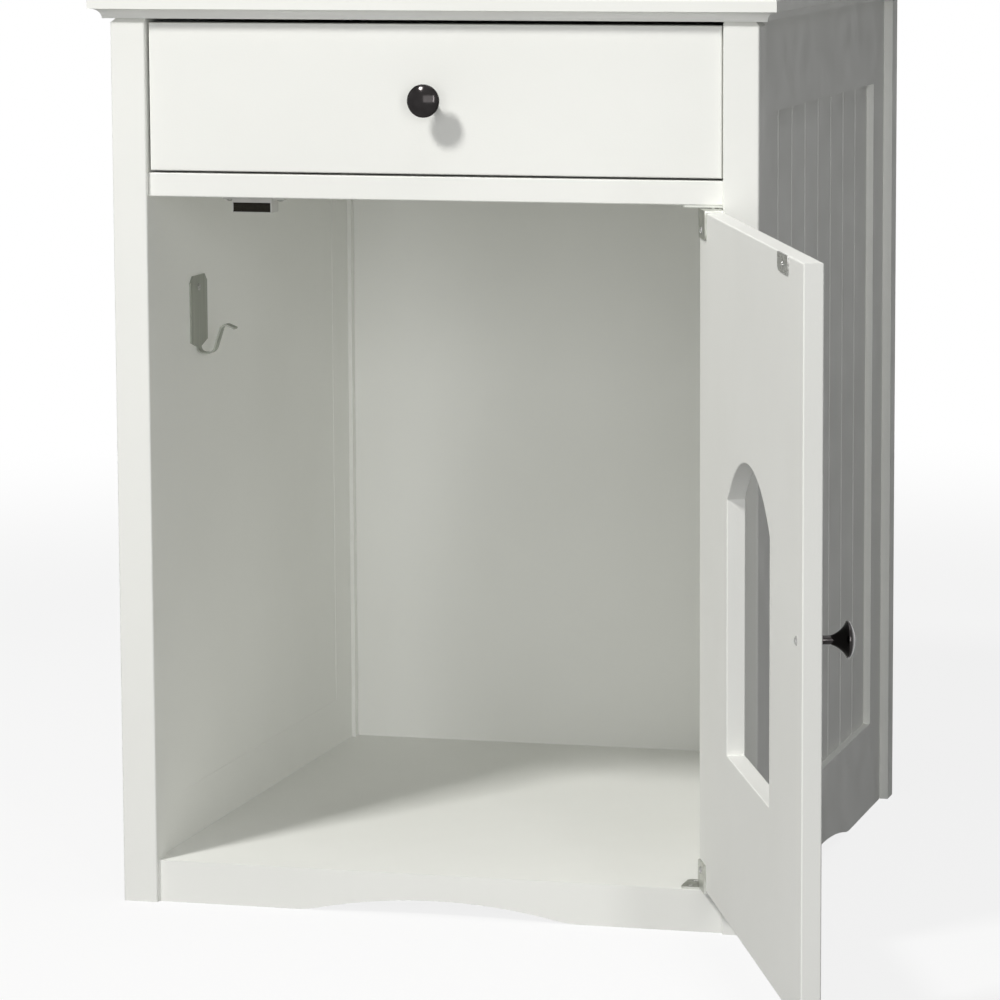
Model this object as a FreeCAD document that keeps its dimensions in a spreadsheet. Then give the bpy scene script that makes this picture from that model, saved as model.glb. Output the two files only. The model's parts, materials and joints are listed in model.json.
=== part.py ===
import FreeCAD, Part
import math
import os
import Sketcher

# Cabinet that hides a cat's litter box: four posts, framed side panels, a drawer under the top
# and an inset door with an arched way in for the cat. Millimetres. +Z is up, the front faces -Y.
# The origin is on the floor, at the middle of the back. The door stands open at rest.

SIZES = {
    # carcase
    "body_width": 458.0,            # across the outer sides of the posts
    "body_depth": 499.0,            # front of the front posts to back of the rear posts
    "body_height": 622.0,           # floor to underside of the top board
    "post_width": 25.0,
    "post_depth": 20.0,
    "post_top_chamfer": 3.2,
    "post_edge_radius": 1.5,
    "edge_radius": 1.0,             # eased edges of the drawer, door and shelf
    # top board
    "top_thickness": 15.0,
    "top_side_overhang": 13.5,
    "top_front_overhang": 9.0,
    "top_edge_radius": 1.2,
    "cove_reach": 8.0,              # hollow moulding under the edge
    "cove_height": 6.0,
    "cove_radius": 7.1,
    "cove_step": 0.8,               # small square below the hollow
    # framed sides
    "side_inset": 6.5,              # post's outer side to the frame's outer face
    "side_thickness": 15.5,
    "front_stile_width": 50.0,
    "rear_stile_width": 41.0,
    "top_rail_height": 64.0,
    "bottom_rail_height": 67.0,
    "bead_panel_thickness": 10.0,
    "bead_panel_setback": 0.25,     # behind the frame's inner face
    "tongue_length": 6.0,
    "tongue_thickness": 5.0,
    "plank_count": 8.0,
    "bead_width": 2.6,
    "bead_depth": 1.3,
    # shaped feet: a low arch with a reverse curve at each end
    "front_arch_half": 104.0,
    "side_arch_half": 110.0,
    "foot_arch_rise": 11.0,
    "foot_arch_toe": 18.0,
    # boards between the posts
    "front_inset": 4.0,             # door, drawer, shelf and apron behind the posts' front
    "apron_thickness": 16.0,
    "floor_top": 29.5,
    "floor_thickness": 12.0,
    "drawer_opening_height": 106.5,
    "divider_thickness": 16.5,
    "back_thickness": 12.0,
    # drawer
    "drawer_gap": 1.6,
    "drawer_top_gap": 3.0,
    "drawer_front_thickness": 15.0,
    "drawer_wall": 12.0,
    "drawer_box_height": 80.0,
    "drawer_box_lift": 5.0,         # box's lower edge above the front's lower edge
    "drawer_bottom_thickness": 4.0,
    "drawer_bottom_lift": 10.0,
    "drawer_groove_depth": 6.0,
    # roller slides
    "slide_space": 12.5,            # side frame to drawer box
    "slide_sheet": 1.2,
    "slide_reach": 10.5,            # width of the rail's flanges
    "slide_lip": 11.0,              # runner's lip under the drawer's side
    "slide_gap": 0.3,               # play above and below the rollers
    "slide_side_gap": 1.2,          # roller's side to the sheet beside it
    "slide_lift": 2.0,              # rail above the divider
    "slide_rear_gap": 12.0,         # rear posts to the ends of the rails and the drawer box
    "roller_radius": 8.5,
    "roller_width": 6.0,
    "roller_rim": 0.8,
    "roller_bore_gap": 0.05,
    "roller_from_end": 14.0,        # axle from the end of its sheet
    "axle_radius": 2.0,
    "axle_head_radius": 3.2,
    "axle_head_thickness": 0.8,
    "rail_screw_from_front": 28.0,
    "rail_screw_from_rear": 10.0,
    "runner_screw_from_end": 45.0,
    # door
    "door_side_gap": 2.0,
    "door_end_gap": 3.5,
    "door_thickness": 12.5,
    "door_open_angle": 111.6,
    "cat_arch_half": 84.5,
    "cat_sill_height": 111.5,       # above the door's lower edge
    "cat_spring_height": 282.0,     # above the door's lower edge
    "cat_arch_rise": 34.0,
    "cat_edge_radius": 0.8,
    # pivot hinges
    "pivot_from_edge": 6.0,
    "pivot_from_face": 4.2,
    "hinge_sheet": 1.5,
    "hinge_width": 27.0,
    "hinge_from_edge": 3.0,
    "hinge_leg_height": 18.0,
    "hinge_corner": 3.0,
    "hinge_face_margin": 1.0,       # plate behind the door's outer face
    "hinge_screw_from_edge": 16.0,
    "hinge_screw_from_foot": 5.5,   # door leaf's screw from the end of its leg
    "hinge_pin_radius": 2.0,
    "hinge_pin_gap": 0.06,
    "hinge_pin_length": 11.0,
    "hinge_pin_tip": 0.4,
    "hinge_socket_gap": 0.5,
    "frame_leaf_reach": 22.0,       # pin to the leaf's free end
    "frame_leaf_depth": 24.0,
    "frame_screw_spacing": 15.0,
    "frame_screw_from_end": 6.0,
    # knobs
    "knob_reach": 23.0,
    "knob_head_radius": 11.3,
    "knob_head_start": 17.8,
    "knob_rim": 1.8,
    "knob_neck_radius": 2.8,
    "knob_neck_end": 8.0,
    "knob_foot_radius": 5.2,
    "knob_foot_thickness": 1.4,
    "knob_screw_radius": 2.0,
    "knob_screw_grip": 8.0,
    "knob_screw_head_radius": 3.2,
    "knob_screw_head_height": 1.4,
    "screw_hole_gap": 0.3,
    "door_knob_from_edge": 20.0,
    "door_knob_height": 233.6,      # above the door's lower edge
    # magnetic catch and its plate
    "catch_from_edge": 68.3,        # middle of the catch from the door's free edge
    "catch_width": 28.5,
    "catch_height": 11.3,
    "catch_depth": 15.0,
    "catch_ear_span": 44.0,
    "catch_ear_thickness": 2.6,
    "catch_ear_depth": 9.0,
    "catch_ear_margin": 3.6,        # screw from the ear's end
    "magnet_width": 26.8,
    "magnet_height": 4.7,
    "magnet_depth": 12.0,
    "magnet_drop": 4.4,             # divider to the upper pole plate
    "pole_thickness": 0.8,
    "pole_proud": 0.8,              # pole plates in front of the housing
    "magnet_recess": 0.5,           # magnet behind the pole plates' front
    "strike_width": 36.0,
    "strike_height": 11.5,
    "strike_thickness": 1.2,
    "strike_corner": 5.0,
    "strike_gap": 0.3,
    # scoop hook on the left side
    "hook_from_front": 114.5,       # middle of the plate behind the posts' front
    "hook_plate_width": 36.0,
    "hook_drop": 64.7,              # shelf to the plate's upper edge
    "hook_plate_height": 47.5,
    "hook_plate_chamfer": 5.0,
    "hook_neck_height": 4.0,
    "hook_sheet": 1.2,
    "hook_strip_width": 8.0,
    "hook_bend_radius": 4.0,
    "hook_foot": 2.2,
    "hook_cup_radius": 6.0,
    "hook_cup_turn": 72.0,
    "hook_rise": 14.0,
    "hook_crown_radius": 3.5,
    "hook_crown_turn": 95.0,
    "hook_tip": 5.5,
    "hook_screw_drop": 8.5,
    # small wood screws
    "screw_radius": 1.4,
    "screw_length": 9.0,
    "screw_tip": 2.0,
    "screw_head_radius": 2.9,
    "screw_head_height": 1.3,
    "screw_sunk_depth": 1.0,        # cone of a countersunk head
}

LEFT = -1
RIGHT = 1
SIDES = (("left", LEFT), ("right", RIGHT))
LOWER = -1
UPPER = 1
ENDS = (("upper", UPPER), ("lower", LOWER))
NEAR = 0.01

doc = FreeCAD.newDocument("litter_cabinet")
sheet = doc.addObject("Spreadsheet::Sheet", "Sizes")
nodes = []


class Dim:
    """A size or place: its value now, and the expression that binds it to the sheet."""

    def __init__(self, value, text):
        self.value = float(value)
        self.text = text

    def __add__(self, other):
        other = dim(other)
        return Dim(self.value + other.value, f"({self.text} + {other.text})")

    def __sub__(self, other):
        other = dim(other)
        return Dim(self.value - other.value, f"({self.text} - {other.text})")

    def __mul__(self, other):
        other = dim(other)
        return Dim(self.value * other.value, f"({self.text} * {other.text})")

    def __truediv__(self, other):
        other = dim(other)
        return Dim(self.value / other.value, f"({self.text} / {other.text})")

    def __rsub__(self, other):
        return dim(other) - self

    def __neg__(self):
        return self * -1


def dim(number):
    return number if isinstance(number, Dim) else Dim(number, f"{number}")


def sine(angle):
    return Dim(math.sin(math.radians(angle.value)), f"sin({angle.text})")


def cosine(angle):
    return Dim(math.cos(math.radians(angle.value)), f"cos({angle.text})")


def fill_sheet():
    """Write every driving size to the sheet and return them by name."""
    named = {}
    for row, (alias, value) in enumerate(SIZES.items(), start=1):
        sheet.set(f"A{row}", alias)
        sheet.set(f"B{row}", str(value))
        sheet.setAlias(f"B{row}", alias)
        named[alias] = Dim(value, f"Sizes.{alias}")
    doc.recompute()
    return named


size = fill_sheet()


# ---- places worked out from the driving sizes ----------------------------------------------

half_width = size["body_width"] / 2
post_inner_x = half_width - size["post_width"]
side_outer_x = half_width - size["side_inset"]
side_inner_x = side_outer_x - size["side_thickness"]
bead_inner_x = side_inner_x + size["bead_panel_setback"]
front_y = -size["body_depth"]
face_y = front_y + size["front_inset"]
post_back_y = front_y + size["post_depth"]
rear_post_y = -size["post_depth"]
panel_front_y = post_back_y + size["front_stile_width"]
panel_rear_y = rear_post_y - size["rear_stile_width"]
panel_length = panel_rear_y - panel_front_y
panel_bottom_z = size["bottom_rail_height"]
panel_top_z = size["body_height"] - size["top_rail_height"]
back_front_y = -size["back_thickness"]
divider_top = size["body_height"] - size["drawer_opening_height"]
divider_low = divider_top - size["divider_thickness"]
screw_hole = size["screw_radius"] + size["screw_hole_gap"]

drawer_half_front = post_inner_x - size["drawer_gap"]
drawer_low = divider_top + size["drawer_gap"]
drawer_high = size["body_height"] - size["drawer_top_gap"]
drawer_mid_z = (drawer_low + drawer_high) / 2
drawer_back_of_front_y = face_y + size["drawer_front_thickness"]
drawer_half_box = side_inner_x - size["slide_space"]
drawer_box_low = drawer_low + size["drawer_box_lift"]
drawer_box_high = drawer_box_low + size["drawer_box_height"]

rail_low = divider_top + size["slide_lift"]
rail_front_y = post_back_y + size["slide_gap"]
rail_rear_y = rear_post_y - size["slide_rear_gap"]
rail_length = rail_rear_y - rail_front_y
drawer_rear_y = rail_rear_y
drawer_box_length = drawer_rear_y - drawer_back_of_front_y
axle_z = rail_low + size["slide_sheet"] + size["slide_gap"] + size["roller_radius"]
flange_z = axle_z + size["roller_radius"] + size["slide_gap"]
rail_high = flange_z + size["slide_sheet"] * 2 + size["slide_gap"]
runner_low = drawer_box_low - size["slide_sheet"]

swing = size["door_open_angle"]
door_width = (post_inner_x - size["door_side_gap"]) * 2
door_hinge_x = size["pivot_from_edge"]
door_free_x = door_hinge_x - door_width
door_outer_y = -size["pivot_from_face"]
door_inner_y = door_outer_y + size["door_thickness"]
door_low = size["floor_top"] + size["door_end_gap"]
door_high = divider_low - size["door_end_gap"]
pivot_x = post_inner_x - size["door_side_gap"] - size["pivot_from_edge"]
pivot_y = face_y + size["pivot_from_face"]
door_knob_x = door_free_x + size["door_knob_from_edge"]
door_knob_z = door_low + size["door_knob_height"]
strike_x = door_free_x + size["catch_from_edge"]
strike_mid_z = door_high - size["strike_height"] / 2
hinge_screw_x = door_hinge_x - size["hinge_screw_from_edge"]
hinge_screw_drop = size["hinge_leg_height"] - size["hinge_screw_from_foot"]
leaf_screw_x = size["frame_screw_from_end"] - size["frame_leaf_reach"]
leaf_front_y = door_outer_y + size["hinge_face_margin"]
leaf_mid_y = leaf_front_y + size["frame_leaf_depth"] / 2
leaf_screw_ys = [leaf_mid_y + size["frame_screw_spacing"] / 2 * way for way in (-1, 1)]

catch_x = pivot_x + strike_x
catch_face_y = pivot_y + door_inner_y + size["strike_thickness"] + size["strike_gap"]
catch_screw_x = size["catch_ear_span"] / 2 - size["catch_ear_margin"]
catch_screw_y = size["pole_proud"] + size["catch_depth"] / 2

hook_y = front_y + size["hook_from_front"]
hook_top_z = divider_low - size["hook_drop"]
hook_screw_z = hook_top_z - size["hook_screw_drop"]


def on_door(x, y, z):
    """Place of a point given from the pivot: across, into and up the closed door."""
    x, y = dim(x), dim(y)
    world_x = pivot_x + x * cosine(swing) - y * sine(swing)
    world_y = pivot_y + x * sine(swing) + y * cosine(swing)
    return world_x, world_y, z


# ---- building blocks -----------------------------------------------------------------------

def keep(item, solids=1):
    """Make an object a node of the part."""
    nodes.append((item, solids))
    return item


def place(item, position, turn=None):
    """Bind the Placement; turn is an angle about the vertical."""
    if turn is not None:
        upright = FreeCAD.Rotation(FreeCAD.Vector(0, 0, 1), turn.value)
        item.Placement = FreeCAD.Placement(FreeCAD.Vector(), upright)
        item.setExpression("Placement.Rotation.Angle", turn.text)
    for letter, value in zip("xyz", position):
        item.setExpression(f"Placement.Base.{letter}", dim(value).text)


def loose_body(label, position, turn=None):
    body = doc.addObject("PartDesign::Body", label)
    body.Label = label
    place(body, position, turn)
    return body


def new_body(label, position, turn=None):
    return keep(loose_body(label, position, turn))


def door_body(label, x, y, z):
    return new_body(label, on_door(x, y, z), swing)


def group(label, members):
    """Identical fasteners as one node of separate solids."""
    compound = doc.addObject("Part::Compound", label)
    compound.Label = label
    compound.Links = members
    keep(compound, len(members))


def new_sketch(body, name, plane, offset=0):
    """Sketch on one of the body's own planes, moved along that plane's normal."""
    sketch = body.newObject("Sketcher::SketchObject", name)
    origin_plane = next(item for item in body.Origin.OriginFeatures if item.Role == plane)
    sketch.AttachmentSupport = [(origin_plane, "")]
    sketch.MapMode = "FlatFace"
    sketch.setExpression("AttachmentOffset.Base.z", dim(offset).text)
    return sketch


def hold(sketch, kind, geometry, point, value):
    """Keep one point of the sketch at a distance from the sketch's origin."""
    index = sketch.addConstraint(Sketcher.Constraint(kind, -1, 1, geometry, point, value.value))
    sketch.setExpression(f"Constraints[{index}]", value.text)


def hold_radius(sketch, geometry, radius):
    index = sketch.addConstraint(Sketcher.Constraint("Radius", geometry, radius.value))
    sketch.setExpression(f"Constraints[{index}]", radius.text)


def arc_between(start, end, radius, turn):
    """The short arc between two points; turn is 1 where it bends left and -1 where right."""
    chord = end - start
    half_chord = chord.Length / 2
    left = FreeCAD.Vector(-chord.y, chord.x, 0).normalize()
    centre_offset = max(radius**2 - half_chord**2, 0.0) ** 0.5
    centre = (start + end) * 0.5 + left * centre_offset * turn
    first, last = (start, end) if turn > 0 else (end, start)
    angles = [math.atan2(spot.y - centre.y, spot.x - centre.x) for spot in (first, last)]
    ring = Part.Circle(centre, FreeCAD.Vector(0, 0, 1), radius)
    return Part.ArcOfCircle(ring, angles[0], angles[1])


def outline(sketch, corners, mirror=1, swap=False):
    """Closed chain of lines and arcs. A corner is (x, y), or (x, y, radius, turn) where an arc
    leads on to the next corner. mirror -1 flips the chain across y; swap exchanges x and y."""
    flips = mirror * (-1 if swap else 1)
    spots = []
    for corner in corners:
        x, y = dim(corner[0]) * mirror, dim(corner[1])
        spots.append((y, x) if swap else (x, y))
    points = [FreeCAD.Vector(x.value, y.value, 0) for x, y in spots]
    starts = []
    for number, corner in enumerate(corners):
        start, end = points[number], points[(number + 1) % len(points)]
        if len(corner) == 2:
            sketch.addGeometry(Part.LineSegment(start, end), False)
            starts.append(1)
            continue
        radius, turn = dim(corner[2]), corner[3] * flips
        index = sketch.addGeometry(arc_between(start, end, radius.value, turn), False)
        hold_radius(sketch, index, radius)
        starts.append(1 if turn > 0 else 2)
    base = sketch.GeometryCount - len(corners)
    for number, (x, y) in enumerate(spots):
        following = (number + 1) % len(spots)
        meeting = (base + number, 3 - starts[number], base + following, starts[following])
        sketch.addConstraint(Sketcher.Constraint("Coincident", *meeting))
        hold(sketch, "DistanceX", base + number, starts[number], x)
        hold(sketch, "DistanceY", base + number, starts[number], y)


def rectangle(sketch, low, high):
    outline(sketch, [low, (high[0], low[1]), high, (low[0], high[1])])


def circle(sketch, x, y, radius):
    x, y, radius = dim(x), dim(y), dim(radius)
    centre = FreeCAD.Vector(x.value, y.value, 0)
    index = sketch.addGeometry(Part.Circle(centre, FreeCAD.Vector(0, 0, 1), radius.value), False)
    hold_radius(sketch, index, radius)
    hold(sketch, "DistanceX", index, 3, x)
    hold(sketch, "DistanceY", index, 3, y)


def pad(body, sketch, name, length, reverse=False):
    feature = body.newObject("PartDesign::Pad", name)
    feature.Profile = sketch
    feature.Reversed = reverse
    feature.setExpression("Length", dim(length).text)
    return feature


def pocket(body, sketch, name, depth, reverse=False):
    """Cut against the plane's normal, or along it when reversed, and be sure that it cuts."""
    doc.recompute()
    before = body.Shape.Volume
    feature = body.newObject("PartDesign::Pocket", name)
    feature.Profile = sketch
    feature.Reversed = reverse
    feature.setExpression("Length", dim(depth).text)
    doc.recompute()
    if not feature.Shape.Volume < before:
        raise ValueError(f"{body.Label}: {name} cuts nothing")
    return feature


def drill(body, name, plane, offset, spots, radius, depth, reverse=False):
    sketch = new_sketch(body, name, plane, offset)
    for x, y in spots:
        circle(sketch, x, y, radius)
    return pocket(body, sketch, f"{name}Bore", depth, reverse)


def revolve(body, sketch, name, axis):
    feature = body.newObject("PartDesign::Revolution", name)
    feature.Profile = sketch
    feature.ReferenceAxis = (sketch, [axis])
    feature.Angle = 360
    return feature


def near(value, target):
    return abs(value - dim(target).value) < NEAR


def dress(body, kind, name, amount, test):
    """Fillet or Chamfer the edges of the body's last feature whose bounding box passes the test."""
    doc.recompute()
    last = body.Tip
    found = []
    for number, edge in enumerate(last.Shape.Edges, start=1):
        if test(edge.BoundBox):
            found.append(f"Edge{number}")
    feature = body.newObject(f"PartDesign::{kind}", name)
    feature.Base = (last, found)
    feature.setExpression("Radius" if kind == "Fillet" else "Size", dim(amount).text)
    return feature


def flat_x(box, x):
    return near(box.XMin, x) and near(box.XMax, x)


def flat_y(box, y):
    return near(box.YMin, y) and near(box.YMax, y)


def flat_z(box, z):
    return near(box.ZMin, z) and near(box.ZMax, z)


def board(label, low, high):
    """Square-edged board whose body sits at its low corner."""
    body = new_body(label, low)
    low, high = [dim(v) for v in low], [dim(v) for v in high]
    sketch = new_sketch(body, "Outline", "XY_Plane")
    rectangle(sketch, (0, 0), (high[0] - low[0], high[1] - low[1]))
    pad(body, sketch, "Board", high[2] - low[2])
    return body


def slab(body, name, low, high):
    """Box between two corners, added to a body."""
    sketch = new_sketch(body, f"{name}Outline", "XY_Plane", low[2])
    rectangle(sketch, (low[0], low[1]), (high[0], high[1]))
    pad(body, sketch, name, dim(high[2]) - low[2])


def across(side, inner, outer):
    """Low and high X between two distances from the middle plane, on one side."""
    return (inner, outer) if side == RIGHT else (-outer, -inner)


# ---- screws --------------------------------------------------------------------------------

TURNED_ALONG = {
    "X": ("XZ_Plane", "H_Axis", False),
    "Y": ("YZ_Plane", "H_Axis", False),
    "Z": ("XZ_Plane", "V_Axis", True),
}


def dome_radius(radius, height):
    return (radius * radius + height * height) / (height * 2)


def turn_solid(body, axis, way, corners):
    """Revolve a profile given as distance along the axis and radius."""
    plane, line, swap = TURNED_ALONG[axis]
    profile = new_sketch(body, "Profile", plane)
    outline(profile, corners, mirror=way, swap=swap)
    revolve(body, profile, "Turned", line)


def wood_screw(label, position, axis, way, sunk=False, turn=None):
    """Small screw driven along an axis; its head rests at the given place."""
    length, shank = size["screw_length"], size["screw_radius"]
    head, height = size["screw_head_radius"], size["screw_head_height"]
    cone = size["screw_sunk_depth"]
    corners = [(length, 0), (length - size["screw_tip"], shank)]
    if sunk:
        corners += [(cone, shank), (0, shank + cone), (0, 0)]
    else:
        corners += [(0, shank), (0, head, dome_radius(head, height), 1), (-height, 0)]
    body = loose_body(label, position, turn)
    turn_solid(body, axis, way, corners)
    return body


# ---- carcase -------------------------------------------------------------------------------

def make_posts():
    """Four posts bevelled under the top board, with eased uprights where they are seen."""
    top = size["body_height"]
    for row, low_y, high_y in (("front", front_y, post_back_y), ("rear", rear_post_y, dim(0))):
        for side_name, side in SIDES:
            low_x, high_x = across(side, post_inner_x, half_width)
            body = board(f"{row}_{side_name}_post", (low_x, low_y, 0), (high_x, high_y, top))
            outer_x = size["post_width"] if side == RIGHT else 0
            outer_y = 0 if row == "front" else size["post_depth"]

            def seen_top_edge(box):
                outer_side = flat_x(box, outer_x)
                return flat_z(box, top) and (outer_side or (row == "front" and flat_y(box, 0)))

            def seen_upright(box):
                upright = flat_y(box, outer_y) and box.XLength < NEAR
                return upright and (row == "front" or flat_x(box, outer_x))

            dress(body, "Chamfer", "TopBevel", size["post_top_chamfer"], seen_top_edge)
            dress(body, "Fillet", "EasedUprights", size["post_edge_radius"], seen_upright)


def arched_board(length, height, middle, half):
    """Outline of a board whose lower edge has a low arch with a reverse curve at each end."""
    toe = size["foot_arch_toe"]
    slope = size["foot_arch_rise"] / half
    stretch = (slope * slope + 1) / (slope * 2)
    toe_radius, arch_radius = toe * stretch, (half - toe) * stretch
    toe_rise = toe * slope
    return [
        (0, 0),
        (middle - half, 0, toe_radius, 1),
        (middle - half + toe, toe_rise, arch_radius, -1),
        (middle + half - toe, toe_rise, toe_radius, 1),
        (middle + half, 0),
        (length, 0),
        (length, height),
        (0, height),
    ]


def make_side(side_name, side):
    """Frame of two stiles and two rails, grooved for a beaded panel that sits back outside."""
    low_x, high_x = across(side, side_inner_x, side_outer_x)
    thickness, tongue, top = size["side_thickness"], size["tongue_length"], size["body_height"]
    shoulder = (size["bead_panel_thickness"] - size["tongue_thickness"]) / 2
    groove_low = size["bead_panel_setback"] + shoulder
    if side == LEFT:
        groove_low = thickness - groove_low - size["tongue_thickness"]
    groove_high = groove_low + size["tongue_thickness"]
    groove_length = panel_top_z - panel_bottom_z + tongue * 2
    inner_face = 0 if side == RIGHT else thickness
    screw_depth = size["screw_length"] - size["slide_sheet"]
    front_screw_y = rail_front_y + size["rail_screw_from_front"]
    rear_screw_y = rail_rear_y - size["rail_screw_from_rear"]
    groove_start = size["front_stile_width"] - tongue
    stiles = (
        ("front", post_back_y, panel_front_y, groove_start, front_screw_y),
        ("rear", panel_rear_y, rear_post_y, dim(0), rear_screw_y),
    )
    for row, low_y, high_y, start, screw_y in stiles:
        stile = board(f"{side_name}_{row}_stile", (low_x, low_y, 0), (high_x, high_y, top))
        groove = new_sketch(stile, "Groove", "XY_Plane", panel_top_z + tongue)
        rectangle(groove, (groove_low, start), (groove_high, start + tongue))
        pocket(stile, groove, "PanelGroove", groove_length)
        drill(
            stile, "SlideScrew", "YZ_Plane", inner_face, [(screw_y - low_y, axle_z)],
            size["screw_radius"], screw_depth, reverse=side == RIGHT,
        )

    low, high = (low_x, panel_front_y, panel_top_z), (high_x, panel_rear_y, top)
    top_rail = board(f"{side_name}_top_rail", low, high)
    groove = new_sketch(top_rail, "Groove", "XZ_Plane")
    rectangle(groove, (groove_low, 0), (groove_high, tongue))
    pocket(top_rail, groove, "PanelGroove", panel_length)

    bottom_rail = new_body(f"{side_name}_bottom_rail", (low_x, panel_front_y, 0))
    shape = new_sketch(bottom_rail, "Outline", "YZ_Plane")
    middle = front_y / 2 - panel_front_y
    outline(shape, arched_board(panel_length, panel_bottom_z, middle, size["side_arch_half"]))
    pad(bottom_rail, shape, "Board", thickness)
    groove = new_sketch(bottom_rail, "Groove", "XZ_Plane")
    rectangle(groove, (groove_low, panel_bottom_z - tongue), (groove_high, panel_bottom_z))
    pocket(bottom_rail, groove, "PanelGroove", panel_length)

    make_bead_panel(side_name, side)


def make_bead_panel(side_name, side):
    """Board with a tongue all round and a row of upright V grooves on its outer face."""
    thickness, tongue = size["bead_panel_thickness"], size["tongue_length"]
    low_x, high_x = across(side, bead_inner_x, bead_inner_x + thickness)
    low, high = (low_x, panel_front_y, panel_bottom_z), (high_x, panel_rear_y, panel_top_z)
    height = panel_top_z - panel_bottom_z
    body = board(f"{side_name}_bead_panel", low, high)
    rim = new_sketch(body, "Tongue", "YZ_Plane", (thickness - size["tongue_thickness"]) / 2)
    rectangle(rim, (-tongue, -tongue), (panel_length + tongue, height + tongue))
    pad(body, rim, "TongueAllRound", size["tongue_thickness"])
    if side == LEFT:
        spot = (hook_y - panel_front_y, hook_screw_z - panel_bottom_z)
        depth = size["screw_length"] - size["hook_sheet"]
        drill(body, "HookScrew", "YZ_Plane", thickness, [spot], size["screw_radius"], depth)

    plank = panel_length / size["plank_count"]
    half_bead = size["bead_width"] / 2
    outer_x = thickness if side == RIGHT else dim(0)
    bead = new_sketch(body, "Bead", "XY_Plane", height)
    deepest = (outer_x - size["bead_depth"] * side, plank)
    outline(bead, [(outer_x, plank - half_bead), (outer_x, plank + half_bead), deepest])
    first = pocket(body, bead, "FirstBead", height)
    row = body.newObject("PartDesign::LinearPattern", "Beads")
    row.Originals = [first]
    row.Direction = (bead, ["V_Axis"])
    row.setExpression("Length", (plank * (size["plank_count"] - 2)).text)
    row.setExpression("Occurrences", (size["plank_count"] - 1).text)
    body.Tip = row


def notched_board(label, low_z, thickness, low_y):
    """Board that reaches both side frames and is notched round the four posts."""
    body = new_body(label, (0, 0, low_z))
    between_posts = new_sketch(body, "BetweenPosts", "XY_Plane")
    rectangle(between_posts, (-post_inner_x, low_y), (post_inner_x, back_front_y))
    pad(body, between_posts, "Board", thickness)
    between_sides = new_sketch(body, "BetweenSides", "XY_Plane")
    rectangle(between_sides, (-side_inner_x, post_back_y), (side_inner_x, rear_post_y))
    pad(body, between_sides, "WidePart", thickness)
    return body


def make_boards():
    """Apron, floor, divider and back, with pilot holes for what is screwed to them."""
    pilot = size["screw_radius"]
    leaf_depth = size["screw_length"] - size["hinge_sheet"]
    front_spot, rear_spot = [(pivot_x + leaf_screw_x, pivot_y + y) for y in leaf_screw_ys]

    apron = new_body("front_apron", (-post_inner_x, face_y, 0))
    shape = new_sketch(apron, "Outline", "XZ_Plane")
    length, half = post_inner_x * 2, size["front_arch_half"]
    outline(shape, arched_board(length, size["floor_top"], post_inner_x, half))
    pad(apron, shape, "Board", size["apron_thickness"], reverse=True)
    spot = (front_spot[0] + post_inner_x, front_spot[1] - face_y)
    drill(apron, "HingeScrew", "XY_Plane", size["floor_top"], [spot], pilot, leaf_depth)

    thickness = size["floor_thickness"]
    apron_back_y = face_y + size["apron_thickness"]
    floor = notched_board("floor_panel", size["floor_top"] - thickness, thickness, apron_back_y)
    drill(floor, "HingeScrew", "XY_Plane", thickness, [rear_spot], pilot, leaf_depth)

    thickness = size["divider_thickness"]
    divider = notched_board("divider_shelf", divider_low, thickness, face_y)
    dress(divider, "Fillet", "FrontEdges", size["edge_radius"], lambda box: flat_y(box, face_y))
    spots = [front_spot, rear_spot]
    drill(divider, "HingeScrew", "XY_Plane", 0, spots, pilot, leaf_depth, reverse=True)
    spots = [(catch_x + catch_screw_x * way, catch_face_y + catch_screw_y) for way in (-1, 1)]
    depth = size["screw_length"] - size["catch_ear_thickness"]
    drill(divider, "CatchScrew", "XY_Plane", 0, spots, pilot, depth, reverse=True)

    board("back_panel", (-post_inner_x, back_front_y, 0), (post_inner_x, 0, size["body_height"]))


def make_top_board():
    """Top with a hollow moulding under its front and side edges, mitred at the corners."""
    half = half_width + size["top_side_overhang"]
    front = front_y - size["top_front_overhang"]
    thickness, radius, step = size["top_thickness"], size["cove_radius"], size["cove_step"]
    reach, rise = size["cove_reach"], size["cove_height"]
    body = new_body("top_board", (0, 0, size["body_height"]))
    shape = new_sketch(body, "Outline", "XY_Plane")
    rectangle(shape, (-half, front), (half, 0))
    pad(body, shape, "Board", thickness)

    def hollow(edge, inward):
        return [
            (edge, 0),
            (edge + reach * inward, 0),
            (edge + reach * inward, step, radius, inward),
            (edge, step + rise),
        ]

    front_hollow = new_sketch(body, "FrontHollow", "YZ_Plane", half)
    outline(front_hollow, hollow(front, 1))
    pocket(body, front_hollow, "FrontCove", half * 2)
    for side_name, side in SIDES:
        side_hollow = new_sketch(body, f"{side_name}Hollow", "XZ_Plane")
        outline(side_hollow, hollow(half * side, -side))
        pocket(body, side_hollow, f"{side_name}Cove", -front, reverse=True)
    dress(body, "Fillet", "UpperEdges", size["top_edge_radius"], lambda box: flat_z(box, thickness))


# ---- drawer --------------------------------------------------------------------------------

def runner_screw_places():
    """Distances of a runner's two screws behind the drawer front."""
    from_end = size["runner_screw_from_end"]
    return [from_end, drawer_box_length - from_end]


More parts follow.
